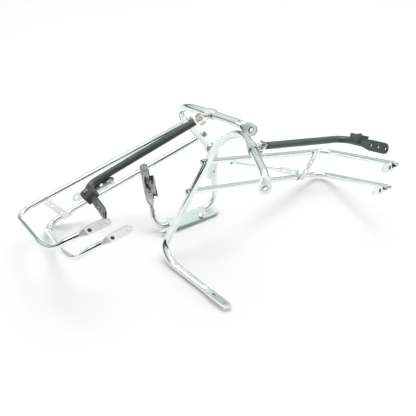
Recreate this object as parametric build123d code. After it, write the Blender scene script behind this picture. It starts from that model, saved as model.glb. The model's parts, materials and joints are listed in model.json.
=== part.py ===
from build123d import *
import os
from math import cos, radians, sin

# Pannier frame for a motorbike: a left and a right side carrier and the rear bridge, as they stand together.
# Each carrier has its own axes: u runs forward along the rails from the hoop, v runs down from the upper
# rail to the lower one, and w points inwards to the bike. The right carrier is the left one's mirror hand.

# tubes
rail_d = 12.0
hoop_d = 16.0
bar_d = 14.0
bridge_d = 12.0
brace_d = 7.0
rail_corner_bend = 24.0
left_end_bend = 34.0
right_end_bend = 12.0
foot_bend = 24.0
bar_bend = 20.0
bridge_bend = 26.0
seat = 0.15

# flattened tube ends and tabs: width, thickness, length of the taper from round to flat, turn of the flat
rail_tab_width = 18.0
rail_tab_thick = 3.5
rail_taper = 13.0
rail_tab_angle = -30.0
hoop_eye_width = 23.0
hoop_eye_thick = 4.0
hoop_taper = 22.0
left_eye_angle = -15.0
right_eye_angle = -50.0
bar_flat_width = 21.0
bar_flat_thick = 4.0
bar_taper = 20.0
bridge_flat_width = 18.5
bridge_flat_thick = 3.6
bridge_taper = 12.0
eye_hole_d = 8.5
tab_hole_d = 7.0
eye_taper = 14.0
eye_lead = 7.0
eye_tip = 12.0
neck_bend = 30.0
hoop_lap = 20.0

# left carrier: rails as (start v, corner u, corner v), then the run inwards and the run back to the end hole
left_upper = (3.0, 409.0, -11.0)
left_lower = (70.0, 393.0, 76.0)
left_upper_inward = (-90.0, -100.0, 185.0)
left_upper_return = (-137.5, -11.0, 18.0)
left_lower_inward = (-85.0, -118.0, 185.0)
left_lower_return = (-142.5, -23.0, 18.0)
left_tab_lead = 46.0
left_tab_pitch = 38.0
left_hoop_top = 98.8
left_hoop_bend = 126.4
left_neck = (-120.9, -132.8, 163.4)
left_eye = (-136.7, -134.3, 190.0)
left_hoop_end = 135.0
left_strip_u = 335.0

# right carrier
right_upper = (0.0, 379.0, 0.0)
right_lower = (75.0, 412.0, 67.0)
right_upper_inward = (-62.0, -120.0, 199.0)
right_upper_return = (-32.7, 2.3, 2.6)
right_lower_inward = (-64.0, -124.0, 199.0)
right_lower_return = (-47.6, -0.5, 3.8)
right_tab_lead = 7.0
right_tab_tip = 17.0
right_hoop_top = 123.5
right_hoop_bend = 132.7
right_neck = (-105.0, -133.0, 195.9)
right_eye = (-118.6, -120.5, 220.8)
right_foot_v = 242.0
right_foot_eye = (4.0, 206.0, 195.0)
right_foot_hole_back = 35.0
right_foot_hole_d = 5.0
right_strip_u = 338.0

# flat cross strip that ties the two rails
strip_width = 17.0
strip_thick = 2.5
strip_hole_d = 7.0
strip_hole_inset = 22.0
strip_seat = 0.5

# case bar: black tube clamped on the hoop's top leg, its front end bent inwards and flattened
left_bar_w = 105.0
left_bar_corner = (193.0, -142.0, 125.0)
left_bar_tip = (148.0, -205.0, 247.0)
right_bar_w = 124.0
right_bar_corner = (187.0, -143.0, 131.0)
right_bar_tip = (142.0, -209.0, 249.0)
bar_round_length = 68.0
bar_gap = 33.0
bar_lift = 4.0
bar_hole_d = 7.0
bar_hole_first = 92.0
bar_hole_pitch = 22.0
bar_holes = 3
left_bar_flat_angle = 40.0
right_bar_flat_angle = 0.0
plug_d = 9.0
plug_length = 14.0

# clamp, eyelet and bolt at the bar's rear end
clamp_wall = 2.6
clamp_width = 16.0
lug_thick = 3.0
eyelet_d = 17.0
eyelet_thick = 5.0
eyelet_at = 21.5
bolt_d = 8.0
bolt_flats = 13.0
bolt_head = 5.5
nut_height = 6.5
bolt_over = 2.0
rail_bolt_d = 6.0
rail_bolt_flats = 10.0
rail_bolt_head = 5.0
washer_d = 12.0
washer_thick = 1.6
washer_seat = 0.5
hole_play = 0.2

# ribbed buffer block that straddles the bar just past its bend
block_length = 31.0
block_width = 26.0
block_height = 17.0
block_below = 2.0
block_start = 35.0
block_corner = 5.0
rib_groove = 2.2
rib_depth = 2.2
rib_count = 5
screw_d = 5.0
screw_head_d = 9.0
screw_head = 3.0

# chrome strip along the left bar
pad_start_u = 139.0
pad_length = 90.0
pad_width = 20.0
pad_thick = 3.0
pad_inset = 13.5
pad_angle = 8.4
pad_hole_d = 7.0
pad_slot_length = 11.0
pad_edge = 9.0

# diagonal brace between the right rails
brace_start_u = 76.0
brace_tip_u = 318.0
brace_flat_length = 60.0
brace_tab_width = 15.0
brace_tab_thick = 3.0
brace_taper = 12.0
brace_hole_d = 5.5
brace_hole_back = 16.0
brace_hole_pitch = 36.5

# bridge: a splayed U of tube with flattened arms, a guard plate and two brackets, placed on the floor
bridge_left_foot = (-110.8, 1636.7, 12.0)
bridge_right_foot = (13.2, 1723.0, 12.0)
bridge_rest_u = 136.0
bridge_overrun = 14.0
bridge_left_round = 57.0
bridge_right_round = 40.0
bracket_lap = 14.0
bracket_out = 9.0
bracket_thick = 2.5
bracket_length = 46.0
bracket_fold = 7.0
bracket_drop = 52.0
bracket_bolt_in = 7.0
plate_top_length = 92.0
plate_tip_length = 150.0
plate_low_length = 124.0
plate_shoulder = 12.0
plate_tip = 15.0
plate_drop = 25.0
plate_thick = 2.0
plate_angle = 33.0
plate_skew_angle = 5.0
plate_bolt_along = 30.0
plate_bolt_drop = 13.5
small_bolt_d = 6.0
small_flats = 10.0
small_head = 4.0

# where each carrier stands: upper rail joint, heading, droop of the rails and lean about them
view_shift_x = -3.1
view_shift_y = 1589.5
left_x = -44.8
left_y = 1685.6
left_z = 258.0
left_heading_angle = -170.3
left_droop_angle = 29.3
left_lean_angle = -108.1
right_x = -1.3
right_y = 1592.8
right_z = 228.1
right_heading_angle = 41.5
right_droop_angle = 23.0
right_lean_angle = -79.6

rail_r = rail_d / 2
hoop_r = hoop_d / 2
bar_r = bar_d / 2
bridge_r = bridge_d / 2


def stand(x, y, z, heading, droop, lean):
    spot = Pos(x - view_shift_x, y - view_shift_y, z)
    return spot * Rot(0, 0, heading) * Rot(0, droop, 0) * Rot(lean, 0, 0)


def unit(vector):
    return vector.normalized()


def across(along, normal):
    # the part of normal that is square to along
    return unit(normal - along * normal.dot(along))


def tube(points, radii, diameter):
    path = FilletPolyline(*points, radius=radii) if radii else Line(*points)
    section = Plane(origin=path @ 0, z_dir=path % 0) * Circle(diameter / 2)
    return sweep(section, path=path)


def rod(start, along, diameter, length):
    return extrude(Plane(origin=start, z_dir=along) * Circle(diameter / 2), length)


def round_wire(plane, radius):
    # a circle in four arcs, so that its corners line up with a rectangle's
    corners = [-45, 45, 135, 225]
    arcs = [CenterArc((0, 0), radius, start, 90) for start in corners]
    return plane * Face(Wire(arcs))


def pressed_neck(point, along, normal, diameter, width, thick, taper):
    # round tube pressed flat over a taper, its broad faces square to normal
    start = Plane(origin=point, x_dir=normal.cross(along), z_dir=along)
    pressed = start.offset(taper) * Rectangle(width, thick)
    return loft([round_wire(start, diameter / 2), pressed.face()])


def tongue_plate(point, along, normal, width, thick, length):
    # flat tongue with a rounded tip
    flat = Plane(origin=point, x_dir=along, z_dir=normal)
    outline = Pos(length / 2, 0) * Rectangle(length, width)
    outline += Pos(length, 0) * Circle(width / 2)
    return extrude(flat * outline, thick / 2, both=True)


def flat_end(point, along, normal, diameter, width, thick, taper, tongue):
    normal = across(along, normal)
    neck = pressed_neck(point, along, normal, diameter, width, thick, taper)
    return neck + tongue_plate(point + along * taper, along, normal, width, thick, tongue)


def turned(along, normal, angle):
    # normal turned about along
    side = along.cross(normal)
    return unit(normal * cos(radians(angle)) + side * sin(radians(angle)))


def hole_through(point, normal, diameter, depth):
    return rod(point - normal * depth, normal, diameter, depth * 2)


def hex_bolt(seat_point, along, diameter, flats, head, length):
    # head sits on seat_point, shank runs along
    base = Plane(origin=seat_point, z_dir=along)
    hexagon = RegularPolygon(flats / 2, 6, major_radius=False)
    cap = extrude(base * hexagon, -head)
    return cap + extrude(base * Circle(diameter / 2), length)


def hex_nut(seat_point, along, diameter, flats, height):
    base = Plane(origin=seat_point, z_dir=along)
    hexagon = RegularPolygon(flats / 2, 6, major_radius=False)
    return extrude(base * (hexagon - Circle(diameter / 2 + hole_play / 2)), height)


def washer(seat_point, along, hole, outer, thick):
    return extrude(Plane(origin=seat_point, z_dir=along) * (Circle(outer / 2) - Circle(hole / 2)), thick)


class Carrier:
    def __init__(self, name, hand, place):
        self.name = name
        self.hand = hand
        self.place = place
        self.nodes = {}

    def at(self, u, v, w):
        return Vector(u, v, w * self.hand)

    def world(self, u, v, w):
        return (self.place * Pos(self.at(u, v, w))).position

    def turn(self, direction):
        # a direction in the carrier's axes, as the stand turns it
        return (self.place * Pos(direction)).position - self.place.position

    def add(self, node, shape):
        self.nodes[f"{self.name}_{node}"] = self.place * shape

    def rail(self, name, line, inward, back, bend, lead, tongue, pitch, clear):
        # the bent tube, its end pressed flat, and the drilled tab that is welded to that end
        start_v, length, end_v = line
        start = self.at(0, start_v, 0)
        corner = self.at(length, end_v, 0)
        second = corner + self.at(*inward)
        last_hole = second + self.at(*back)
        along = unit(self.at(*back))
        tab_at = last_hole - along * lead
        end = tab_at - along * rail_taper
        body = tube([start, corner, second, end], [rail_corner_bend, bend], rail_d)
        normal = turned(along, across(along, self.at(0, 0, 1)), rail_tab_angle * self.hand)
        body += pressed_neck(end, along, normal, rail_d, rail_tab_width, rail_tab_thick, rail_taper)
        body -= rod(start, unit(corner - start), rail_bolt_d + hole_play, hoop_r + rail_bolt_d * 4)
        self.add(name, body - clear)
        tab = tongue_plate(tab_at, along, normal, rail_tab_width, rail_tab_thick, tongue)
        tab -= hole_through(last_hole, normal, tab_hole_d, rail_tab_thick)
        if pitch:
            tab -= hole_through(last_hole - along * pitch, normal, tab_hole_d, rail_tab_thick)
        self.add(f"{name}_tab", tab)

    def rail_fasteners(self, ends):
        bolts = []
        washers = []
        for start_v, length, end_v in ends:
            start = self.at(0, start_v, 0)
            along = unit(self.at(length, end_v, 0) - start)
            face = start - along * (hoop_r + washer_seat + washer_thick)
            washers.append(washer(face, along, rail_bolt_d + hole_play, washer_d, washer_thick))
            reach = washer_thick + hoop_d + rail_bolt_d * 3
            bolts.append(hex_bolt(face, along, rail_bolt_d, rail_bolt_flats, rail_bolt_head, reach))
        self.add("rail_bolts", Compound(bolts))
        self.add("rail_washers", Compound(washers))

    def bolt_holes(self, ends):
        cuts = []
        for start_v, length, end_v in ends:
            start = self.at(0, start_v, 0)
            along = unit(self.at(length, end_v, 0) - start)
            cuts.append(hole_through(start, along, rail_bolt_d + hole_play, hoop_d))
        return cuts

    def cross_strip(self, strip_u, upper, lower):
        # a flat bar bowed between the rails, its ends curled over them
        tops = []
        for start_v, length, end_v in (upper, lower):
            tops.append(start_v + (end_v - start_v) * strip_u / length)
        inner = rail_r + strip_seat
        outer = inner + strip_thick
        middle = (tops[0] + tops[1]) / 2
        span = tops[1] - tops[0]
        lie = Plane(origin=self.at(strip_u, 0, 0), x_dir=(0, 1, 0), z_dir=(1, 0, 0))
        band = Pos(middle, (inner + outer) / 2 * self.hand) * Rectangle(span, strip_thick)
        for top in tops:
            ring = Pos(top, 0) * (Circle(outer) - Circle(inner))
            away = 1 if top > middle else -1
            keep = Pos(top + away * outer / 2, outer / 2 * self.hand) * Rectangle(outer, outer)
            band += ring & keep
        shape = extrude(lie * band, strip_width / 2, both=True)
        side = Vector(0, 0, 1)
        for hole_v in (tops[0] + strip_hole_inset, tops[1] - strip_hole_inset):
            shape -= hole_through(self.at(strip_u, hole_v, inner), side, strip_hole_d, outer)
        self.add("cross_strip", shape)

    def case_bar(self, corner, neck, start_w, bend, tip, flat_angle):
        # the bar lies over the hoop's top leg, which it is clamped to where they cross
        leg = unit(neck - corner)
        share = start_w / abs(neck.Z - corner.Z)
        cross = corner + (neck - corner) * share
        normal = unit(leg.cross(unit(bend - cross)))
        normal = normal if normal.Y > 0 else normal * -1
        axis_at = cross - normal * bar_lift
        along = unit(bend - axis_at)
        normal = across(along, normal)
        start = axis_at + along * bar_gap
        reach = unit(tip - bend)
        end = bend + reach * bar_round_length
        path = [start, bend, end]
        body = tube(path, [bar_bend], bar_d)
        upright = across(reach, Vector(0, 1, 0))
        sideways = across(reach, Vector(1, 0, 0))
        broad = unit(upright * cos(radians(flat_angle)) + sideways * sin(radians(flat_angle)))
        flat_normal = reach.cross(broad)
        tongue = (tip - end).length - bar_taper - bar_flat_width / 2
        body += flat_end(end, reach, flat_normal, bar_d, bar_flat_width, bar_flat_thick, bar_taper, tongue)
        for index in range(bar_holes):
            at = bend + reach * (bar_hole_first + index * bar_hole_pitch)
            body -= hole_through(at, flat_normal, bar_hole_d, bar_flat_width / 2)
        body -= rod(start, along, plug_d + hole_play, plug_length + hole_play)
        self.bar_end(cross, leg, axis_at, along, normal)
        body -= self.buffer(bend, reach, upright)
        self.add("case_bar", body)
        return axis_at, along, normal, tube(path, [bar_bend], bar_d + 2 * seat)

    def bar_end(self, cross, leg, axis_at, along, normal):
        ring_r = hoop_r + seat
        ring = rod(cross - leg * (clamp_width / 2), leg, 2 * (ring_r + clamp_wall), clamp_width)
        lug_top = eyelet_thick / 2 - bar_lift + seat
        lug_length = eyelet_at + eyelet_d / 2
        lie = Plane(origin=cross + normal * lug_top, x_dir=along, z_dir=normal)
        outline = Pos(eyelet_at / 2, 0) * Rectangle(eyelet_at, clamp_width)
        outline += Pos(eyelet_at, 0) * Circle(clamp_width / 2)
        clamp = ring + extrude(lie * outline, lug_thick)
        clamp -= rod(cross - leg * lug_length, leg, 2 * ring_r, 2 * lug_length)
        hole_at = axis_at + along * eyelet_at
        clamp -= hole_through(hole_at, normal, bolt_d + hole_play, bar_d)
        self.add("bar_clamp", clamp)
        disc = Plane(origin=hole_at - normal * (eyelet_thick / 2), x_dir=along, z_dir=normal)
        neck_length = bar_gap - eyelet_at
        plan = Circle(eyelet_d / 2) + Pos(neck_length / 2, 0) * Rectangle(neck_length, plug_d)
        eyelet = extrude(disc * plan, eyelet_thick)
        eyelet += rod(axis_at + along * (bar_gap - seat), along, plug_d, plug_length)
        eyelet -= rod(cross - leg * lug_length, leg, 2 * (ring_r + clamp_wall + seat), 2 * lug_length)
        eyelet -= hole_through(hole_at, normal, bolt_d + hole_play, bar_d)
        self.add("bar_eyelet", eyelet)
        head_at = hole_at - normal * (eyelet_thick / 2)
        grip = eyelet_thick + seat + lug_thick
        reach = grip + nut_height + bolt_over
        bolt = hex_bolt(head_at, normal, bolt_d, bolt_flats, bolt_head, reach)
        nut = hex_nut(head_at + normal * grip, normal, bolt_d, bolt_flats, nut_height)
        self.add("bar_bolt", bolt)
        self.add("bar_nut", nut)

    def buffer(self, bend, reach, upright):
        # rubber block with cross ribs, grooved below to sit over the bar, held by one screw from the top
        up = upright * -1
        centre = bend + reach * (block_start + block_length / 2)
        base = Plane(origin=centre - up * block_below, x_dir=reach, z_dir=up)
        block = extrude(base * RectangleRounded(block_length, block_width, block_corner), block_height)
        pitch = block_length / rib_count
        for index in range(1, rib_count):
            groove = Box(rib_groove, block_width, 2 * rib_depth)
            block -= base * (Pos(index * pitch - block_length / 2, 0, block_height) * groove)
        block -= rod(bend, reach, bar_d + 2 * seat, bar_round_length * 2)
        top = centre + up * (block_height - block_below)
        depth = block_height - block_below
        bore = rod(top, upright, screw_d + hole_play, depth)
        block -= bore
        self.add("buffer_block", block)
        head = rod(top, up, screw_head_d, screw_head)
        socket = Plane(origin=top + up * screw_head, z_dir=upright) * RegularPolygon(screw_d / 2, 6)
        head -= extrude(socket, screw_head / 2)
        self.add("buffer_screw", head + rod(top, upright, screw_d, depth - hole_play))
        return bore


def hoop(eye, neck, corner, bend, end, tail, eye_angle):
    # flattened eye bent at its neck, top leg, wide bend, rail leg and the tail beyond the lower rail
    leg = unit(neck - eye)
    top_end = eye + leg * (eye_taper + eye_lead)
    points = [top_end, neck, corner, end]
    radii = [neck_bend, bend]
    if tail:
        points.append(tail)
        radii.append(foot_bend)
    body = tube(points, radii, hoop_d)
    clear = tube(points, radii, hoop_d + 2 * seat)
    normal = turned(leg, across(leg, Vector(0, 1, 0)), eye_angle)
    tongue = eye_lead + eye_tip - hoop_eye_width / 2
    body += flat_end(top_end, leg * -1, normal, hoop_d, hoop_eye_width, hoop_eye_thick, eye_taper, tongue)
    body -= hole_through(eye, normal, eye_hole_d, hoop_eye_thick)
    return body, clear


def left_carrier():
    place = stand(left_x, left_y, left_z, left_heading_angle, left_droop_angle, left_lean_angle)
    side = Carrier("left", 1, place)
    corner = side.at(0, -left_hoop_top, 0)
    neck = side.at(*left_neck)
    eye = side.at(*left_eye)
    end = side.at(0, left_hoop_end - hoop_taper - hoop_lap, 0)
    body, clear = hoop(eye, neck, corner, left_hoop_bend, end, None, left_eye_angle)
    lines = (left_upper, left_lower)
    for cut in side.bolt_holes(lines):
        body -= cut
    side.add("hoop", body)
    runs = ((left_upper_inward, left_upper_return), (left_lower_inward, left_lower_return))
    for name, line, run in zip(("upper_rail", "lower_rail"), lines, runs):
        side.rail(name, line, *run, left_end_bend, left_tab_lead, left_tab_lead, left_tab_pitch, clear)
    side.rail_fasteners(lines)
    side.cross_strip(left_strip_u, *lines)
    bar = side.case_bar(
        corner, neck, left_bar_w, side.at(*left_bar_corner), side.at(*left_bar_tip), left_bar_flat_angle
    )
    pad_strip(side, *bar)
    return side


def pad_strip(side, axis_at, along, normal, bar_clear):
    # flat chrome strip under the bar, with a bolt and a hole beside the bar and a slot at its front end
    inwards = unit(along.cross(normal))
    inwards = inwards if inwards.Z > 0 else inwards * -1
    rear = axis_at + along * (pad_start_u - axis_at.X) + normal * (bar_r + seat) + inwards * pad_inset
    way = unit(along * cos(radians(pad_angle)) - inwards * sin(radians(pad_angle)))
    lie = Plane(origin=rear, x_dir=way, z_dir=normal)
    outline = Pos(pad_length / 2, 0) * RectangleRounded(pad_length, pad_width, pad_edge)
    strip = extrude(lie * outline, pad_thick) - bar_clear
    slot = Pos(pad_length - pad_edge, 0) * SlotOverall(pad_slot_length, pad_hole_d, rotation=90)
    strip -= extrude(lie * slot, pad_thick * 2, both=True)
    bolt_at = lie.origin + way * pad_edge
    hole_at = bolt_at + way * (pad_edge * 2)
    strip -= hole_through(bolt_at, normal, small_bolt_d + hole_play, pad_thick * 2)
    strip -= hole_through(hole_at, normal, pad_hole_d, pad_thick * 2)
    side.add("pad_strip", strip)
    reach = pad_thick + small_head + hole_play
    side.add("pad_strip_bolt", hex_bolt(bolt_at, normal, small_bolt_d, small_flats, small_head, reach))
    nut_at = bolt_at + normal * pad_thick
    side.add("pad_strip_nut", hex_nut(nut_at, normal, small_bolt_d, small_flats, small_head))


def right_carrier():
    place = stand(right_x, right_y, right_z, right_heading_angle, right_droop_angle, right_lean_angle)
    side = Carrier("right", -1, place)
    corner = side.at(0, -right_hoop_top, 0)
    neck = side.at(*right_neck)
    eye = side.at(*right_eye)
    foot = side.at(0, right_foot_v, 0)
    foot_eye = side.at(*right_foot_eye)
    along = unit(foot_eye - foot)
    flat_at = foot_eye - along * (right_foot_hole_back + hoop_taper)
    body, clear = hoop(eye, neck, corner, right_hoop_bend, foot, flat_at, right_eye_angle)
    normal = across(along, Vector(0, 1, 0))
    tongue = right_foot_hole_back
    body += flat_end(flat_at, along, normal, hoop_d, hoop_eye_width, hoop_eye_thick, hoop_taper, tongue)
    body -= hole_through(foot_eye, normal, eye_hole_d, hoop_eye_thick)
    body -= hole_through(foot_eye - along * right_foot_hole_back, normal, right_foot_hole_d, hoop_eye_thick)
    lines = (right_upper, right_lower)
    for cut in side.bolt_holes(lines):
        body -= cut
    side.add("hoop", body)
    runs = ((right_upper_inward, right_upper_return), (right_lower_inward, right_lower_return))
    for name, line, run in zip(("upper_rail", "lower_rail"), lines, runs):
        tongue = right_tab_lead + right_tab_tip
        side.rail(name, line, *run, right_end_bend, right_tab_lead, tongue, 0, clear)
    side.rail_fasteners(lines)
    side.cross_strip(right_strip_u, *lines)
    side.case_bar(
        corner, neck, right_bar_w, side.at(*right_bar_corner), side.at(*right_bar_tip), right_bar_flat_angle
    )
    brace(side, *lines)
    return side


def brace(side, upper, lower):
    # slim rod from under the upper rail, its flattened and drilled end welded on top of the lower rail
    upper_v = upper[0] + (upper[2] - upper[0]) * brace_start_u / upper[1]
    start = side.at(brace_start_u, upper_v + rail_r + seat + brace_d / 2, 0)
    lower_v = lower[0] + (lower[2] - lower[0]) * brace_tip_u / lower[1]
    tip = side.at(brace_tip_u, lower_v - rail_r - seat - brace_tab_width / 2, 0)
    along = unit(tip - start)
    flat_at = tip - along * (brace_flat_length + brace_taper)
    body = tube([start, flat_at], None, brace_d)
    normal = Vector(0, 0, 1)
    body += flat_end(
        flat_at, along, normal, brace_d, brace_tab_width, brace_tab_thick, brace_taper, brace_flat_length
    )
    for back in (brace_hole_back, brace_hole_back + brace_hole_pitch):
        body -= hole_through(tip - along * back, normal, brace_hole_d, brace_tab_thick)
    side.add("brace", body)


def bridge(left):
    # the U stands on the floor, its left arm against the lower rail and its right arm on the hoop's end
    shift = Vector(view_shift_x, view_shift_y, 0)
    left_foot = Vector(*bridge_left_foot) - shift
    right_foot = Vector(*bridge_right_foot) - shift
    run = unit(right_foot - left_foot)
    rest_v = left_lower[0] + (left_lower[2] - left_lower[0]) * bridge_rest_u / left_lower[1]
    rest_on = left.world(bridge_rest_u, rest_v, 0)
    rail_way = unit(left.turn(left.at(left_lower[1], left_lower[2] - left_lower[0], 0)))
    off_rail = rail_r + seat + bridge_flat_thick / 2
    hoop_end = left.world(0, left_hoop_end, 0)
    hoop_way = unit(left.turn(Vector(0, 1, 0)))
    off_hoop = hoop_eye_thick / 2 + seat + bridge_flat_thick / 2
    left_touch, left_normal = meet(rest_on, rail_way, left_foot, off_rail)
    right_touch, right_normal = meet(hoop_end, hoop_way, right_foot, off_hoop)
    arms = []
    sides = (
        (left_foot, left_touch, left_normal, bridge_left_round),
        (right_foot, right_touch, right_normal, bridge_right_round),
    )
    for foot, touch, normal, round_part in sides:
        up = unit(touch - foot)
        length = (touch - foot).length + bridge_overrun
        arms.append((foot, up, length, normal, foot + up * round_part))
    path = [arms[0][4], left_foot, right_foot, arms[1][4]]
    body = tube(path, [bridge_bend, bridge_bend], bridge_d)
    for foot, up, length, normal, flat_start in arms:
        tongue = length - (flat_start - foot).length - bridge_taper - bridge_flat_width / 2
        body += flat_end(
            flat_start, up, normal, bridge_d, bridge_flat_width, bridge_flat_thick, bridge_taper, tongue
        )
    # the hoop's end is pressed flat to lie on the right arm, one bolt through both
    hoop_flat_at = hoop_end - hoop_way * (hoop_taper + hoop_lap)
    hoop_end_flat = flat_end(
        hoop_flat_at, hoop_way, right_normal, hoop_d, hoop_eye_width, hoop_eye_thick, hoop_taper, hoop_lap
    )
    joint_hole = hole_through(hoop_end, right_normal, bolt_d + hole_play, hoop_d)
    left.nodes["left_hoop"] = left.nodes["left_hoop"] + hoop_end_flat - joint_hole
    body -= joint_hole
    nodes = {}
    inward_way = right_normal * -1
    head_at = right_touch + right_normal * (bridge_flat_thick / 2)
    grip = bridge_flat_thick + seat + hoop_eye_thick
    reach = grip + nut_height + bolt_over
    nodes["bridge_end_bolt"] = hex_bolt(head_at, inward_way, bolt_d, bolt_flats, bolt_head, reach)
    nut_at = head_at + inward_way * grip
    nodes["bridge_end_nut"] = hex_nut(nut_at, inward_way, bolt_d, bolt_flats, nut_height)
    bolts = []
    for name, arm, inner in (("left", arms[0], run), ("right", arms[1], run * -1)):
        foot, up, length, normal, flat_start = arm
        # behind the flat and out past its inner edge, where it is folded forwards
        face = foot + up * (length - bracket_drop) - normal * (bridge_flat_thick / 2 + seat)
        lie = Plane(origin=face, x_dir=up, z_dir=normal)
        side_way = 1 if lie.y_dir.dot(inner) > 0 else -1
        edge = bridge_flat_width / 2
        strip_y = side_way * (edge + (bracket_out - bracket_lap) / 2)
        strip = Pos(0, strip_y) * Rectangle(bracket_length, bracket_out + bracket_lap)
        bracket = extrude(lie * strip, -bracket_thick)
        fold = Box(bracket_length, bracket_thick, bracket_fold + bracket_thick)
        fold_y = side_way * (edge + bracket_out - bracket_thick / 2)
        bracket += lie * (Pos(0, fold_y, (bracket_fold - bracket_thick) / 2) * fold)
        for end in (-1, 1):
            at = face + up * (end * bracket_length / 4) + lie.y_dir * (side_way * (edge - bracket_bolt_in))
            cut = hole_through(at, normal, small_bolt_d + hole_play, hoop_d)
            bracket -= cut
            body -= cut
            on = at - normal * bracket_thick
            reach = bracket_thick + seat + bridge_flat_thick + bolt_over
            bolts.append(hex_bolt(on, normal, small_bolt_d, small_flats, small_head, reach))
        nodes[f"bridge_{name}_bracket"] = bracket
    nodes["bridge_bracket_bolts"] = Compound(bolts)
    nodes.update(guard_plate(left_foot, right_foot, run))
    nodes["bridge_tube"] = body
    return nodes


def meet(target, target_way, foot, offset):
    # where an arm from foot passes target at the offset, and the normal square to the arm and to target_way
    touch = target
    for step in range(6):
        normal = unit(target_way.cross(touch - foot))
        normal = normal if normal.Y < 0 else normal * -1
        touch = target + normal * offset
    return touch, normal


def guard_plate(left_foot, right_foot, run):
    # plate welded on top of the bottom run and sloping down in front of it, its ends drawn out to tips
    middle = (left_foot + right_foot) * 0.5
    level = unit(Vector(0, 0, 1).cross(run)) * -1
    slope = level * cos(radians(plate_angle)) - Vector(0, 0, 1) * sin(radians(plate_angle))
    normal = unit(run.cross(slope))
    normal = normal if normal.Z > 0 else normal * -1
    lie = Plane(origin=middle + normal * (bridge_r + seat), x_dir=run, z_dir=normal)
    down = 1 if lie.y_dir.dot(slope) > 0 else -1
    skew = Rot(0, 0, down * plate_skew_angle)
    half = plate_top_length / 2
    tip = plate_tip_length / 2
    low = plate_low_length / 2
    right_edge = [(half, -bridge_r), (half, plate_shoulder), (tip, plate_tip), (low, plate_drop)]
    left_edge = [(-x, y) for x, y in reversed(right_edge)]
    corners = [(x, y * down) for x, y in right_edge + left_edge]
    plate = extrude(lie * (skew * make_face(Polyline(*corners, close=True))), plate_thick)
    at = (lie * skew * Pos(plate_bolt_along, plate_bolt_drop * down)).position
    plate -= hole_through(at, normal, small_bolt_d + hole_play, bridge_d)
    reach = plate_thick + small_head + bolt_over
    back = normal * -1
    bolt = hex_bolt(at + normal * plate_thick, back, small_bolt_d, small_flats, small_head, reach)
    nut = hex_nut(at, back, small_bolt_d, small_flats, small_head)
    return {"bridge_plate": plate, "bridge_plate_bolt": bolt, "bridge_plate_nut": nut}


left = left_carrier()
right = right_carrier()
bridge_nodes = bridge(left)
nodes = {**left.nodes, **right.nodes, **bridge_nodes}
os.makedirs("parts", exist_ok=True)
for name, shape in nodes.items():
    export_step(shape, f"parts/{name}.step")
whole = Compound(list(nodes.values())).bounding_box()
print(len(nodes), "nodes from", whole.min, "to", whole.max)
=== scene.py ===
import json
import math
import bmesh
import bpy
from mathutils import Matrix, Vector


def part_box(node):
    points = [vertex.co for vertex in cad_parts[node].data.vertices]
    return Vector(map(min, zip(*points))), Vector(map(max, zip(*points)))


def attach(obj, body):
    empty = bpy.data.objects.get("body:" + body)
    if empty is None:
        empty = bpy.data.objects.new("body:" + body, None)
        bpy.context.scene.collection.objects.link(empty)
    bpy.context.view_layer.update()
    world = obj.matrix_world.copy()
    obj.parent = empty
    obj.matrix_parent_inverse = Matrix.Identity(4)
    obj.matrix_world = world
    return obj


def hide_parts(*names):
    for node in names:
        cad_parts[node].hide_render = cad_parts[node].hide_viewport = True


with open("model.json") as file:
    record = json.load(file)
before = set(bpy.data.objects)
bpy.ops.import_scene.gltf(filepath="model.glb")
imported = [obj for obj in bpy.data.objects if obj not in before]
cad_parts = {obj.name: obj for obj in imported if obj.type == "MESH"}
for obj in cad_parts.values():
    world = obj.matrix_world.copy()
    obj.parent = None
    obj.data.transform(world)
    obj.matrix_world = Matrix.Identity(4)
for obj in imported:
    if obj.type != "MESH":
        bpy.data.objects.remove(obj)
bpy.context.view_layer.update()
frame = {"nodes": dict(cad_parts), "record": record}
nodes = frame["nodes"]
scene = bpy.context.scene
scene.view_settings.view_transform = "Standard"
print("stage 1: frame loaded,", len(nodes), "nodes")

noiseSpan = (0.3, 0.7)  # most of a noise's values lie in here
bandSpan = (0.38, 0.62)  # narrower, for clear bands
spotCore = 0.25  # share of a spot's radius at full strength
spotEdge = 0.12  # noise step from bare to stained
spotRough = 0.55
grainDepth = 0.0004


def startMaterial(name):
    mat = bpy.data.materials.new(name)
    mat.use_nodes = True
    tree = mat.node_tree
    tree.nodes.clear()
    out = tree.nodes.new("ShaderNodeOutputMaterial")
    shader = tree.nodes.new("ShaderNodeBsdfPrincipled")
    tree.links.new(shader.outputs["BSDF"], out.inputs["Surface"])
    coords = tree.nodes.new("ShaderNodeTexCoord")
    return mat, tree, shader, coords.outputs["Object"]


def addNoise(tree, coords, scale, detail=4.0, rough=0.55, distort=0.0):
    noise = tree.nodes.new("ShaderNodeTexNoise")
    noise.inputs["Scale"].default_value = scale
    noise.inputs["Detail"].default_value = detail
    noise.inputs["Roughness"].default_value = rough
    noise.inputs["Distortion"].default_value = distort
    tree.links.new(coords, noise.inputs["Vector"])
    return noise.outputs["Fac"]


def addRange(tree, value, fromLow, fromHigh, toLow, toHigh):
    span = tree.nodes.new("ShaderNodeMapRange")
    span.inputs["From Min"].default_value = fromLow
    span.inputs["From Max"].default_value = fromHigh
    span.inputs["To Min"].default_value = toLow
    span.inputs["To Max"].default_value = toHigh
    tree.links.new(value, span.inputs["Value"])
    return span.outputs["Result"]


def addRamp(tree, value, stops):
    ramp = tree.nodes.new("ShaderNodeValToRGB")
    while len(ramp.color_ramp.elements) < len(stops):
        ramp.color_ramp.elements.new(0.5)
    for element, (place, colour) in zip(ramp.color_ramp.elements, stops):
        element.position = place
        element.color = (*colour, 1.0)
    tree.links.new(value, ramp.inputs["Fac"])
    return ramp.outputs["Color"]


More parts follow.
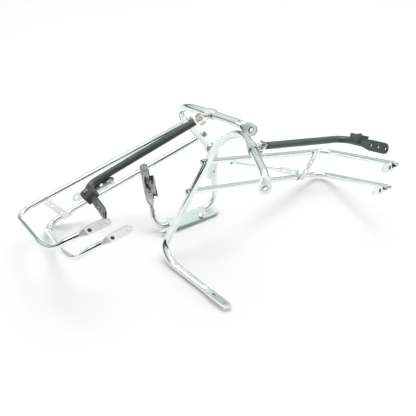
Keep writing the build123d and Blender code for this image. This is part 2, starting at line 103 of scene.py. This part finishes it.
def addMix(tree, amount, first, second):
    mix = tree.nodes.new("ShaderNodeMix")
    mix.data_type = "RGBA"
    tree.links.new(amount, mix.inputs["Factor"])
    for socket, value in ((mix.inputs["A"], first), (mix.inputs["B"], second)):
        if isinstance(value, tuple):
            socket.default_value = (*value, 1.0)
        else:
            tree.links.new(value, socket)
    return mix.outputs["Result"]


def addMath(tree, kind, first, second):
    node = tree.nodes.new("ShaderNodeMath")
    node.operation = kind
    node.use_clamp = True
    for socket, value in ((node.inputs[0], first), (node.inputs[1], second)):
        if isinstance(value, float):
            socket.default_value = value
        else:
            tree.links.new(value, socket)
    return node.outputs["Value"]


def addBump(tree, shader, height, strength, distance):
    bump = tree.nodes.new("ShaderNodeBump")
    bump.inputs["Strength"].default_value = strength
    bump.inputs["Distance"].default_value = distance
    tree.links.new(height, bump.inputs["Height"])
    tree.links.new(bump.outputs["Normal"], shader.inputs["Normal"])


def nearPoint(tree, coords, point, radius, core):  # 1 out to the core, 0 at the radius and beyond
    away = tree.nodes.new("ShaderNodeVectorMath")
    away.operation = "DISTANCE"
    away.inputs[1].default_value = point
    tree.links.new(coords, away.inputs[0])
    return addRange(tree, away.outputs["Value"], radius * core, radius, 1.0, 0.0)


def stretch(tree, coords, scale):
    mapping = tree.nodes.new("ShaderNodeMapping")
    mapping.inputs["Scale"].default_value = scale
    tree.links.new(coords, mapping.inputs["Vector"])
    return mapping.outputs["Vector"]


def makeMetal(look):
    mat, tree, shader, coords = startMaterial(look["name"])
    cloud = addNoise(tree, coords, look["cloudScale"], detail=5.0, rough=0.6, distort=0.4)
    colour = addRamp(tree, cloud, look["colours"])
    if "streak" in look:  # dull and bright bands along the pressed arms
        bands = addNoise(tree, stretch(tree, coords, look["streak"]), 1.0, detail=1.0)
        rough = addRange(tree, bands, *bandSpan, *look["rough"])
    else:
        mottle = addNoise(tree, coords, look["roughScale"], detail=6.0, rough=0.7)
        rough = addRange(tree, mottle, *noiseSpan, *look["rough"])
    if "scuff" in look:  # worn patches in a second colour
        scuff = look["scuff"]
        wear = addNoise(tree, coords, scuff["scale"], detail=8.0, rough=0.65)
        worn = addRange(tree, wear, *scuff["span"], 0.0, scuff["strength"])
        colour = addMix(tree, worn, colour, scuff["colour"])
    # spots hold real stains and also painted shade
    for spot in look.get("spots", ()):
        patch = addNoise(tree, coords, spot["grain"], detail=5.0, rough=0.7)
        stainAndShade = addRange(tree, patch, spot["cut"], spot["cut"] + spotEdge, 0.0, spot["strength"])
        disc = nearPoint(tree, coords, spot["at"], spot["radius"], spot.get("core", spotCore))
        mask = addMath(tree, "MULTIPLY", disc, stainAndShade)
        colour = addMix(tree, mask, colour, spot["colour"])
        rough = addMath(tree, "MAXIMUM", rough, addMath(tree, "MULTIPLY", mask, spotRough))
    tree.links.new(colour, shader.inputs["Base Color"])
    tree.links.new(rough, shader.inputs["Roughness"])
    shader.inputs["Metallic"].default_value = look["metallic"]
    grain = addNoise(tree, coords, look["bumpScale"], detail=3.0)
    addBump(tree, shader, grain, look["bump"], grainDepth)
    return mat


mountAt = {mount["name"]: tuple(mount["pos_m"]) for mount in frame["record"]["mounts"]}


def middle(nodeName):
    low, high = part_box(nodeName)
    return tuple((first + last) / 2 for first, last in zip(low, high))


white = (1.0, 1.0, 1.0)
brown = (0.15, 0.09, 0.035)
olive = (0.13, 0.125, 0.075)
orange = (0.56, 0.27, 0.09)
# painted shade: the dark inside a small hole in the left hoop's top tube
holeShade = (0.05, 0.05, 0.045)
# painted shade: grey for a dull patch over the left top eye, darker than the chrome
dullSteelShade = (0.50, 0.53, 0.50)
dullChrome = (0.90, 0.93, 0.91)
upperRootHole = (-0.2169, -0.1624, 0.1958)
lowerRootHole = (-0.1784, -0.1371, 0.154)
footSpareHole = (0.0137, -0.1458, 0.0079)
rightArchSpot = (0.0579, -0.0464, 0.3355)
# painted shade: where the dark dot for the small hole in the left hoop's top tube sits
leftHoopHoleShade = (0.0588, -0.0893, 0.3903)
pressedNecks = ((-0.2294, -0.1623, 0.1883), (-0.1903, -0.1367, 0.1456))
rootHoles = (upperRootHole, lowerRootHole, mountAt["right_upper_tab"], mountAt["right_lower_tab"])
endHoles = (mountAt["left_upper_tab"], mountAt["left_lower_tab"])
tubeSpots = [
    # painted shade: a dull grey patch over the left top eye plate
    {"at": mountAt["left_top_eye"], "radius": 0.022, "core": 0.7, "colour": dullSteelShade,
     "grain": 60.0, "cut": 0.1, "strength": 0.9},
    {"at": mountAt["left_top_eye"], "radius": 0.0082, "core": 0.55, "colour": brown,
     "grain": 260.0, "cut": 0.30, "strength": 0.95},
    {"at": mountAt["right_top_eye"], "radius": 0.0078, "core": 0.55, "colour": brown,
     "grain": 260.0, "cut": 0.38, "strength": 0.92},
    {"at": mountAt["right_foot_eye"], "radius": 0.0075, "colour": brown,
     "grain": 240.0, "cut": 0.40, "strength": 0.85},
    {"at": footSpareHole, "radius": 0.0055, "colour": brown,
     "grain": 300.0, "cut": 0.20, "strength": 0.97},
    # painted shade: a dark olive patch on the tubes round the bridge end bolt
    {"at": middle("bridge_end_bolt"), "radius": 0.031, "colour": olive,
     "grain": 110.0, "cut": 0.30, "strength": 0.92},
    {"at": rightArchSpot, "radius": 0.0058, "colour": orange,
     "grain": 320.0, "cut": 0.34, "strength": 0.95},
    # painted shade: a dark dot where the left hoop's top tube shows a small hole
    {"at": leftHoopHoleShade, "radius": 0.0032, "colour": holeShade,
     "grain": 320.0, "cut": 0.2, "strength": 0.9},
]
for neck in pressedNecks:  # the pressed necks of the left rails are dull
    tubeSpots.append({"at": neck, "radius": 0.015, "core": 0.6, "colour": dullChrome,
                      "grain": 40.0, "cut": -0.2, "strength": 1.0})
flatSpots = []
for hole in rootHoles:
    flatSpots.append({"at": hole, "radius": 0.0054, "core": 0.72, "colour": brown,
                      "grain": 300.0, "cut": 0.16, "strength": 0.98})
for hole in endHoles:
    flatSpots.append({"at": hole, "radius": 0.0062, "colour": olive,
                      "grain": 240.0, "cut": 0.42, "strength": 0.6})
chromeTube = {
    "name": "chromeTube", "metallic": 1.0, "cloudScale": 9.0, "roughScale": 60.0, "bumpScale": 700.0, "bump": 0.02,
    "colours": ((0.25, (0.80, 0.86, 0.835)), (0.5, (0.92, 0.95, 0.935)), (0.75, (0.86, 0.90, 0.88))),
    "rough": (0.05, 0.13), "spots": tubeSpots,
}
chromeFlat = {
    "name": "chromeFlat", "metallic": 1.0, "cloudScale": 22.0, "roughScale": 120.0, "bumpScale": 500.0, "bump": 0.04,
    "colours": ((0.25, (0.80, 0.845, 0.81)), (0.5, (0.92, 0.945, 0.92)), (0.8, (0.86, 0.895, 0.865))),
    "rough": (0.26, 0.40), "spots": flatSpots,
}
bridgeSteel = {
    "name": "bridgeSteel", "metallic": 1.0, "cloudScale": 26.0, "bumpScale": 380.0, "bump": 0.02,
    "colours": ((0.3, (0.74, 0.78, 0.74)), (0.5, (0.92, 0.95, 0.93)), (0.75, (0.86, 0.90, 0.87))),
    "rough": (0.06, 0.52), "streak": (120.0, 90.0, 12.0),
}
guardPlate = {
    "name": "guardPlate", "metallic": 0.55, "cloudScale": 7.0, "roughScale": 24.0, "bumpScale": 300.0, "bump": 0.01,
    "colours": ((0.3, (0.40, 0.48, 0.475)), (0.5, (0.49, 0.57, 0.56)), (0.75, (0.57, 0.64, 0.63))),
    "rough": (0.26, 0.36),
}
barPaint = {
    "name": "barPaint", "metallic": 0.0, "cloudScale": 14.0, "roughScale": 160.0, "bumpScale": 900.0, "bump": 0.05,
    "colours": ((0.3, (0.045, 0.055, 0.055)), (0.55, (0.075, 0.09, 0.09)), (0.8, (0.06, 0.072, 0.07))),
    "rough": (0.26, 0.42),
    "scuff": {"scale": 110.0, "span": (0.60, 0.72), "strength": 0.4, "colour": (0.22, 0.24, 0.225)},
}
rubberBlock = {
    "name": "rubberBlock", "metallic": 0.0, "cloudScale": 60.0, "roughScale": 220.0, "bumpScale": 900.0, "bump": 0.25,
    "colours": ((0.3, (0.045, 0.052, 0.046)), (0.55, (0.075, 0.085, 0.075)), (0.8, (0.11, 0.12, 0.105))),
    "rough": (0.5, 0.75),
    "scuff": {"scale": 160.0, "span": (0.58, 0.7), "strength": 0.35, "colour": (0.20, 0.21, 0.18)},
}
zinc = {
    "name": "zinc", "metallic": 1.0, "cloudScale": 160.0, "roughScale": 300.0, "bumpScale": 900.0, "bump": 0.08,
    "colours": ((0.3, (0.30, 0.285, 0.235)), (0.5, (0.66, 0.64, 0.57)), (0.75, (0.50, 0.48, 0.42))),
    "rough": (0.07, 0.18),
}
looks = {
    "chrome_tube": chromeTube, "chrome_flat": chromeFlat, "bridge_steel": bridgeSteel, "guard_plate": guardPlate,
    "bar_paint": barPaint, "rubber": rubberBlock, "zinc": zinc,
}
slotMaterials = {slotName: makeMetal(look) for slotName, look in looks.items()}
slotOf = {entry["node"]: entry["material_slot"] for entry in frame["record"]["subparts"]}
for nodeName, node in nodes.items():
    node.data.materials.clear()
    node.data.materials.append(slotMaterials[slotOf[nodeName]])
print("stage 2: materials on", len(slotMaterials), "slots")

sharpDegrees = 32.0  # edges that turn further than this are sharp
foldDegrees = 6.0  # the same for the folded plate
levelAngle = math.radians(1.0)  # faces closer than this are taken as one
weldGap = 1e-6
cutGap = 1e-7


def finishPiece(piece):  # bmesh to an object that rides on the root, for a node where one is given
    mesh = bpy.data.meshes.new(piece["name"])
    bm = piece["mesh"]
    bmesh.ops.recalc_face_normals(bm, faces=bm.faces)
    for face in bm.faces:
        face.smooth = True
    smoothBelow = math.radians(piece.get("sharp", sharpDegrees))
    for edge in bm.edges:
        edge.smooth = edge.is_manifold and edge.calc_face_angle() < smoothBelow
    bm.to_mesh(mesh)
    bm.free()
    mesh.materials.append(slotMaterials[piece["slot"]])
    made = bpy.data.objects.new(piece["name"], mesh)
    scene.collection.objects.link(made)
    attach(made, "root")
    if "node" in piece:
        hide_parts(piece["node"])


def copyNode(nodeName):
    bm = bmesh.new()
    bm.from_mesh(nodes[nodeName].data)
    bmesh.ops.remove_doubles(bm, verts=bm.verts, dist=weldGap)
    return bm


def cutNear(bm, corner, span, place, way):  # a ring of new edges across the tube
    near = [face for face in bm.faces if any((vert.co - corner).length < span for vert in face.verts)]
    geom = set(near)
    for face in near:
        geom.update(face.edges)
        geom.update(face.verts)
    bmesh.ops.bisect_plane(bm, geom=list(geom), plane_co=place, plane_no=way, dist=cutGap)


def wideBend(bend):  # the node's tube again, with a wider bend at one corner
    bm = copyNode(bend["node"])
    corner = Vector(bend["corner"])
    inWay = (corner - Vector(bend["before"])).normalized()
    outWay = (Vector(bend["after"]) - corner).normalized()
    axis = inWay.cross(outWay).normalized()
    inSide, outSide = axis.cross(inWay), axis.cross(outWay)
    turn = inWay.angle(outWay)
    oldRadius, newRadius = bend["oldRadius"], bend["newRadius"]
    oldReach, newReach = oldRadius * math.tan(turn / 2), newRadius * math.tan(turn / 2)
    straight = newReach - oldReach
    for step in range(bend["rings"] + 1):
        gap = oldReach + straight * step / bend["rings"]
        cutNear(bm, corner, bend["span"], corner - inWay * gap, inWay)
        cutNear(bm, corner, bend["span"], corner + outWay * gap, outWay)
    oldStart, oldEnd = corner - inWay * oldReach, corner + outWay * oldReach
    oldCentre = oldStart + inSide * oldRadius
    newCentre = corner - inWay * newReach + inSide * newRadius
    length = 2 * straight + oldRadius * turn
    for vert in bm.verts:
        fromStart, fromEnd, spoke = vert.co - oldStart, vert.co - oldEnd, vert.co - oldCentre
        depth = spoke.dot(axis)
        if fromStart.dot(inWay) <= 0:
            along, inset = straight + fromStart.dot(inWay), fromStart.dot(inSide)
        elif fromEnd.dot(outWay) >= 0:
            along, inset = straight + oldRadius * turn + fromEnd.dot(outWay), fromEnd.dot(outSide)
        else:
            flat = spoke - axis * depth
            along = straight + oldRadius * math.atan2(flat.dot(inWay), -flat.dot(inSide))
            inset = oldRadius - flat.length
        if 0 < along < length and max(abs(inset), abs(depth)) < bend["tube"]:
            share = along / length
            newSpoke = inWay * math.sin(turn * share) - inSide * math.cos(turn * share)
            vert.co = newCentre + newSpoke * (newRadius - inset) + axis * depth
            vert.co += Vector(bend["bulge"]) * math.sin(math.pi * share) ** 2
    finishPiece({"name": bend["name"], "mesh": bm, "node": bend["node"], "slot": slotOf[bend["node"]]})


wideBends = [
    {"name": "rightHoopTube", "node": "right_hoop", "before": (0.05212, 0.01805, 0.33991),
     "corner": (-0.0968, -0.02561, 0.009), "after": (-0.00116, -0.12966, 0.00802),
     "oldRadius": 0.024, "newRadius": 0.040, "bulge": (-0.003, 0.003, 0.004),
     "tube": 0.011, "span": 0.3, "rings": 10},
    {"name": "leftUpperTube", "node": "left_upper_rail", "before": (-0.39774, 0.03177, 0.06696),
     "corner": (-0.30364, -0.16206, 0.14377), "after": (-0.23494, -0.1623, 0.18497),
     "oldRadius": 0.034, "newRadius": 0.100, "bulge": (0.0045, -0.0045, -0.0035),
     "tube": 0.009, "span": 0.3, "rings": 14},
    {"name": "leftLowerTube", "node": "left_lower_rail", "before": (-0.34865, 0.06759, 0.00268),
     "corner": (-0.26616, -0.1339, 0.09196), "after": (-0.19559, -0.13646, 0.14185),
     "oldRadius": 0.034, "newRadius": 0.100, "bulge": (0.0045, -0.0045, -0.0035),
     "tube": 0.009, "span": 0.3, "rings": 14},
]
for bend in wideBends:
    wideBend(bend)
print("stage 3: wider bends on", len(wideBends), "tubes")


def foldPlate(fold):  # the node's plate again, its lower flange folded back
    bm = copyNode(fold["node"])
    bmesh.ops.dissolve_limit(bm, angle_limit=levelAngle, verts=bm.verts, edges=bm.edges)
    front = max((face for face in bm.faces if face.normal.y < 0), key=lambda face: face.calc_area())
    normal, centre = front.normal.copy(), front.calc_center_median()
    lowEdge = max(front.edges, key=lambda edge: edge.calc_length())
    lowMiddle = (lowEdge.verts[0].co + lowEdge.verts[1].co) / 2
    along = (lowEdge.verts[1].co - lowEdge.verts[0].co).normalized()
    down = along.cross(normal)
    if down.dot(lowMiddle - centre) < 0:
        down.negate()
    hinge = lowMiddle - down * fold["flange"]
    geom = bm.verts[:] + bm.edges[:] + bm.faces[:]
    bmesh.ops.bisect_plane(bm, geom=geom, plane_co=hinge, plane_no=down, dist=weldGap)
    lean = math.radians(fold["lean"])
    newDown = down * math.cos(lean) - normal * math.sin(lean)
    newNormal = normal * math.cos(lean) + down * math.sin(lean)
    for vert in bm.verts:
        local = vert.co - hinge
        below = local.dot(down)
        if below > weldGap:
            vert.co = hinge + along * local.dot(along) + newNormal * local.dot(normal)
            vert.co += newDown * (below * fold["trim"])
    finishPiece({"name": fold["name"], "mesh": bm, "node": fold["node"], "slot": slotOf[fold["node"]],
                 "sharp": foldDegrees})


foldPlate({"name": "guardPlate", "node": "bridge_plate", "flange": 0.0056, "lean": 24.0, "trim": 0.85})


def facing(at, way):  # Z along the given way, at the given place
    return Matrix.Translation(at) @ way.to_track_quat("Z", "X").to_matrix().to_4x4()


def brownHoleFilm(film):  # brown film right across a hole, half way down
    faces = nodes[film["node"]].data.polygons
    normal = max(faces, key=lambda face: face.area).normal
    bm = bmesh.new()
    bmesh.ops.create_cone(bm, cap_ends=True, segments=film["sides"], radius1=film["radius"], radius2=film["radius"],
                          depth=film["thick"], matrix=facing(film["at"], normal))
    finishPiece({"name": film["name"], "mesh": bm, "slot": "chrome_flat"})


def seamRing(ring):  # raised seam round a rail, made by a full spin
    bm = bmesh.new()
    upright = Matrix.Translation((ring["radius"], 0.0, 0.0)) @ Matrix.Rotation(math.radians(90.0), 4, "X")
    bmesh.ops.create_circle(bm, segments=ring["sides"], radius=ring["bead"], matrix=upright)
    bmesh.ops.spin(bm, geom=bm.verts[:] + bm.edges[:], cent=(0.0, 0.0, 0.0), axis=(0.0, 0.0, 1.0),
                   angle=math.tau, steps=ring["steps"], use_merge=True)
    place = facing(ring["at"], Vector(ring["axis"]).normalized())
    bmesh.ops.transform(bm, matrix=place, verts=bm.verts)
    finishPiece({"name": ring["name"], "mesh": bm, "slot": "chrome_tube"})


films = [
    {"name": "upperHoleRust", "node": "left_upper_rail_tab", "at": upperRootHole,
     "radius": 0.0034, "thick": 0.0012, "sides": 32},
    {"name": "lowerHoleRust", "node": "left_lower_rail_tab", "at": lowerRootHole,
     "radius": 0.0034, "thick": 0.0012, "sides": 32},
]
for film in films:
    brownHoleFilm(film)
seamRing({"name": "railSeam", "at": (-0.3567, 0.0393, 0.0886), "axis": (-0.873, -0.16, -0.4607),
          "radius": 0.0061, "bead": 0.0004, "sides": 10, "steps": 48})


def easeEdges(nodeName, width):  # the node again with its sharp edges rounded
    bm = copyNode(nodeName)
    bmesh.ops.dissolve_limit(bm, angle_limit=levelAngle, verts=bm.verts, edges=bm.edges)
    sharpAbove = math.radians(sharpDegrees)
    sharp = [edge for edge in bm.edges if edge.is_manifold and edge.calc_face_angle() > sharpAbove]
    bmesh.ops.bevel(bm, geom=sharp, offset=width, affect="EDGES", segments=2, profile=0.5, material=-1,
                    clamp_overlap=True)
    words = nodeName.split("_")
    name = words[0] + "".join(word.capitalize() for word in words[1:])
    finishPiece({"name": name, "mesh": bm, "node": nodeName, "slot": slotOf[nodeName]})


easedWidths = {"bolts": 0.0005, "bolt": 0.0005, "nut": 0.0005, "screw": 0.0004, "block": 0.0008}
easedNames = [nodeName for nodeName in nodes if nodeName.split("_")[-1] in easedWidths]
for nodeName in easedNames:
    easeEdges(nodeName, easedWidths[nodeName.split("_")[-1]])
print("stage 4: eased edges on", len(easedNames), "fasteners and blocks")


def addPlane(plane):
    (left, front), (right, back), height = plane["low"], plane["high"], plane["height"]
    corners = [(left, front, height), (right, front, height), (right, back, height), (left, back, height)]
    mesh = bpy.data.meshes.new(plane["name"])
    mesh.from_pydata(corners, [], [(0, 1, 2, 3)])
    made = bpy.data.objects.new(plane["name"], mesh)
    scene.collection.objects.link(made)
    return made


paperSheet = {"name": "floor", "low": (-2.6, -0.66), "high": (2.6, 3.2), "height": -0.0005}
floor = addPlane(paperSheet)  # ends in front, where the tubes mirror a dark room
paper = {
    "name": "paperFloor", "scale": 3.0, "rough": 0.9, "specular": 0.1, "glow": 0.05,
    "colours": ((0.3, (0.745, 0.745, 0.75)), (0.7, (0.765, 0.765, 0.765))),
}
floorMat, floorTree, floorShader, floorCoords = startMaterial(paper["name"])
paperColour = addRamp(floorTree, addNoise(floorTree, floorCoords, paper["scale"]), paper["colours"])
floorTree.links.new(paperColour, floorShader.inputs["Base Color"])
floorShader.inputs["Roughness"].default_value = paper["rough"]
floorShader.inputs["Specular IOR Level"].default_value = paper["specular"]
floorPath = floorTree.nodes.new("ShaderNodeLightPath")
glow = addMath(floorTree, "MULTIPLY", floorPath.outputs["Is Camera Ray"], paper["glow"])  # seen by the camera only
floorShader.inputs["Emission Color"].default_value = (*white, 1.0)
floorTree.links.new(glow, floorShader.inputs["Emission Strength"])
floor.data.materials.append(floorMat)

room = {
    "name": "studio", "strength": 0.9, "turn": (0.15, -0.3),  # Y of the way out, from the back to the front colours
    "back": ((0.0, (0.20, 0.22, 0.21)), (0.45, (0.10, 0.115, 0.11)), (0.5, (0.20, 0.23, 0.22)),
             (0.57, (0.58, 0.64, 0.61)), (0.66, (0.73, 0.80, 0.765)), (0.74, (0.81, 0.87, 0.845)),
             (0.90, (0.92, 0.95, 0.94)), (1.0, white)),
    "front": ((0.0, (0.11, 0.125, 0.12)), (0.35, (0.04, 0.05, 0.045)), (0.45, (0.03, 0.037, 0.034)),
              (0.58, (0.032, 0.039, 0.036)), (0.68, (0.21, 0.245, 0.23)), (0.76, (0.56, 0.63, 0.60)),
              (0.88, (0.84, 0.89, 0.87)), (1.0, white)),
}
world = bpy.data.worlds.new(room["name"])
scene.world = world
world.use_nodes = True
worldTree = world.node_tree
worldTree.nodes.clear()
worldOut = worldTree.nodes.new("ShaderNodeOutputWorld")
sky = worldTree.nodes.new("ShaderNodeBackground")
direction = worldTree.nodes.new("ShaderNodeTexCoord")
parts = worldTree.nodes.new("ShaderNodeSeparateXYZ")
worldTree.links.new(direction.outputs["Generated"], parts.inputs["Vector"])
height = addRange(worldTree, parts.outputs["Z"], -1.0, 1.0, 0.0, 1.0)
frontShare = addRange(worldTree, parts.outputs["Y"], *room["turn"], 0.0, 1.0)
backColour, frontColour = addRamp(worldTree, height, room["back"]), addRamp(worldTree, height, room["front"])
worldTree.links.new(addMix(worldTree, frontShare, backColour, frontColour), sky.inputs["Color"])
sky.inputs["Strength"].default_value = room["strength"]
backdrop = worldTree.nodes.new("ShaderNodeBackground")
backdrop.inputs["Color"].default_value = (*white, 1.0)
seen = worldTree.nodes.new("ShaderNodeLightPath")
choose = worldTree.nodes.new("ShaderNodeMixShader")
worldTree.links.new(seen.outputs["Is Camera Ray"], choose.inputs["Fac"])
worldTree.links.new(sky.outputs["Background"], choose.inputs[1])
worldTree.links.new(backdrop.outputs["Background"], choose.inputs[2])
worldTree.links.new(choose.outputs["Shader"], worldOut.inputs["Surface"])


def addArea(light):
    data = bpy.data.lights.new(light["name"], "AREA")
    data.shape = "RECTANGLE"
    data.size, data.size_y = light["size"]
    data.energy = light["power"]
    data.color = light["colour"]
    lamp = bpy.data.objects.new(light["name"], data)
    lamp.location = light["at"]
    lamp.rotation_euler = (Vector(light["aim"]) - Vector(light["at"])).to_track_quat("-Z", "Y").to_euler()
    scene.collection.objects.link(lamp)


lights = [
    {"name": "keySoftbox", "at": (0.2, 0.35, 2.0), "aim": (0.0, 0.0, 0.0), "size": (1.6, 1.35),
     "power": 28.0, "colour": white},
    {"name": "leftSoftbox", "at": (-1.9, -0.3, 1.5), "aim": (0.0, 0.0, 0.1), "size": (0.9, 1.3),
     "power": 7.0, "colour": (0.98, 1.0, 1.0)},
    {"name": "rightSoftbox", "at": (2.0, 0.2, 1.4), "aim": (0.0, 0.0, 0.1), "size": (0.8, 1.3),
     "power": 5.0, "colour": (1.0, 1.0, 0.99)},
]
for light in lights:
    addArea(light)

photoView = {"name": "photoCamera", "lens": 88.57, "sensor": 36.0, "at": (0.0031, -1.5895, 1.4534), "dip": 40.175}
cameraData = bpy.data.cameras.new(photoView["name"])
cameraData.lens = photoView["lens"]
cameraData.sensor_width = photoView["sensor"]
camera = bpy.data.objects.new(photoView["name"], cameraData)
camera.location = photoView["at"]
camera.rotation_euler = (math.radians(90.0 - photoView["dip"]), 0.0, 0.0)
scene.collection.objects.link(camera)
scene.camera = camera
print("stage 5: floor, light and camera set")
